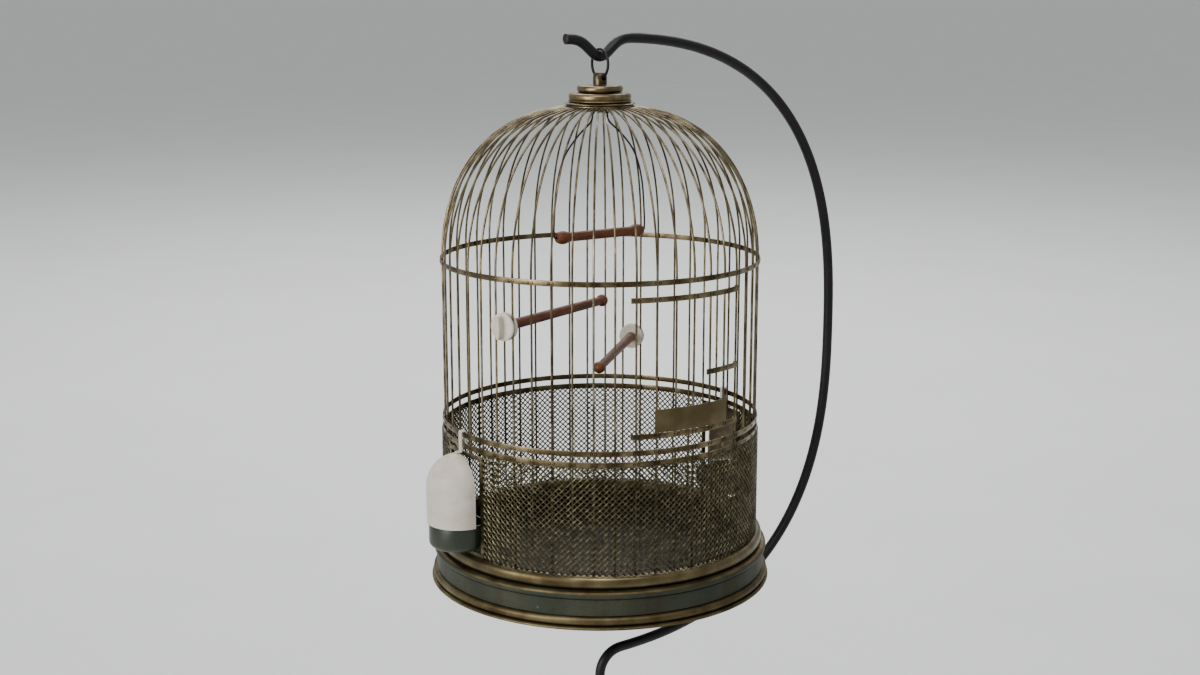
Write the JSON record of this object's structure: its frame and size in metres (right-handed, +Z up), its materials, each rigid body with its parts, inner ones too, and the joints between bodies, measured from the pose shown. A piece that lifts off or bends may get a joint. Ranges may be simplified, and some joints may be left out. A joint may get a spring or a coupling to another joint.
{
  "type": "bird cage on stand",
  "caption": "Round dome-topped wire bird cage that hangs by a ring from a crook-shaped iron floor stand, with door, seed pan, hooded feeders, perches and swing.",
  "frame": {"origin": "on the pole's axis, at the floor under the base pad", "axes": "+Z up along the pole, -Y through the middle of the cage door, +X towards the stand's arm"},
  "size_m": [0.4769, 0.3264, 1.6548],
  "materials": {
    "aged_brass": "aged, dulled brass wire and strip",
    "crown_brass": "worn turned brass",
    "dark_bronze": "dark bronzed woven wire",
    "pan_enamel": "worn grey-green enamel with brassed beads",
    "black_iron": "black lacquered iron rod",
    "cast_iron": "black lacquered casting",
    "red_wood": "stained and waxed turned wood",
    "ivory_plastic": "yellowed ivory plastic",
    "green_plastic": "dark green plastic",
    "black_felt": "pressed felt",
    "steel": "plain steel"
  },
  "bodies": {
    "stand": {"base_casting": "cast_iron", "base_felt_pad": "black_felt", "base_screw": "steel", "base_washer": "steel", "pole_coupler": "black_iron", "stand_arm": "black_iron", "stand_pole": "black_iron"},
    "ring": {"hanging_ring": "black_iron"},
    "cage": {"bar_fan_01": "aged_brass", "bar_fan_02": "aged_brass", "bar_fan_03": "aged_brass", "bar_fan_04": "aged_brass", "bar_fan_05": "aged_brass", "bar_fan_06": "aged_brass", "bar_fan_07": "aged_brass", "bar_fan_08": "aged_brass", "bar_fan_09": "aged_brass", "bar_fan_10": "aged_brass", "bar_stubs_under_door": "aged_brass", "bottom_ring": "aged_brass", "crown_flange": "crown_brass", "crown_lower_disc": "crown_brass", "crown_post": "crown_brass", "crown_upper_disc": "crown_brass", "guard_band": "aged_brass", "mesh_band": "aged_brass", "mesh_guard_back": "dark_bronze", "mesh_guard_front": "dark_bronze", "middle_band": "aged_brass", "perch_lower_disc": "ivory_plastic", "perch_lower_dowel": "red_wood", "perch_lower_stud": "steel", "perch_upper_disc": "ivory_plastic", "perch_upper_dowel": "red_wood", "perch_upper_stud": "steel", "port_frame_left": "dark_bronze", "port_frame_right": "dark_bronze", "swing_hanger": "crown_brass"},
    "swing": {"swing_perch": "red_wood", "swing_wire_left": "black_iron", "swing_wire_right": "black_iron"},
    "door": {"door_bar_1": "aged_brass", "door_bar_2": "aged_brass", "door_bar_3": "aged_brass", "door_bar_4": "aged_brass", "door_bar_5": "aged_brass", "door_bottom_strip": "aged_brass", "door_middle_strip": "aged_brass", "door_plate": "aged_brass", "door_top_strip": "aged_brass"},
    "pan": {"seed_pan": "pan_enamel"},
    "feeder_right": {"feeder_cup_right": "green_plastic", "feeder_hood_right": "ivory_plastic", "feeder_hook_right": "ivory_plastic"},
    "feeder_left": {"feeder_cup_left": "green_plastic", "feeder_hood_left": "ivory_plastic", "feeder_hook_left": "ivory_plastic"},
    "upper_nut": {"perch_upper_nut": "ivory_plastic"},
    "lower_nut": {"perch_lower_nut": "ivory_plastic"}
  },
  "joints": [
    {"name": "ring_rock", "type": "hinge", "parent": "stand", "child": "ring", "pos_m": [0, 0, 1.6336], "axis": [1, 0, 0], "range_deg": [-5, 5]},
    {"name": "cage_sway", "type": "hinge", "parent": "ring", "child": "cage", "pos_m": [0, 0, 1.6145], "axis": [0, 1, 0], "range_deg": [-5, 5]},
    {"name": "swing_rock", "type": "hinge", "parent": "cage", "child": "swing", "pos_m": [0, 0, 1.5843], "axis": [1, 0, 0], "range_deg": [-20, 20]},
    {"name": "door_hinge", "type": "hinge", "parent": "cage", "child": "door", "pos_m": [0.05441, -0.13742, 1.375], "axis": [0, 0, 1], "range_deg": [0, 110]},
    {"name": "pan_drop", "type": "slide", "parent": "cage", "child": "pan", "axis": [0, 0, -1], "range_m": [0, 0.025]},
    {"name": "feeder_lift_right", "type": "slide", "parent": "cage", "child": "feeder_right", "axis": [0, 0, 1], "range_m": [0, 0.011]},
    {"name": "feeder_lift_left", "type": "slide", "parent": "cage", "child": "feeder_left", "axis": [0, 0, 1], "range_m": [0, 0.011]},
    {"name": "upper_nut_turn", "type": "hinge", "parent": "cage", "child": "upper_nut", "pos_m": [0, 0, 1.4055], "axis": [-0.9298, -0.3681, 0], "continuous": true},
    {"name": "lower_nut_turn", "type": "hinge", "parent": "cage", "child": "lower_nut", "pos_m": [0, 0, 1.3417], "axis": [0.729, 0.6845, 0], "continuous": true}
  ]
}
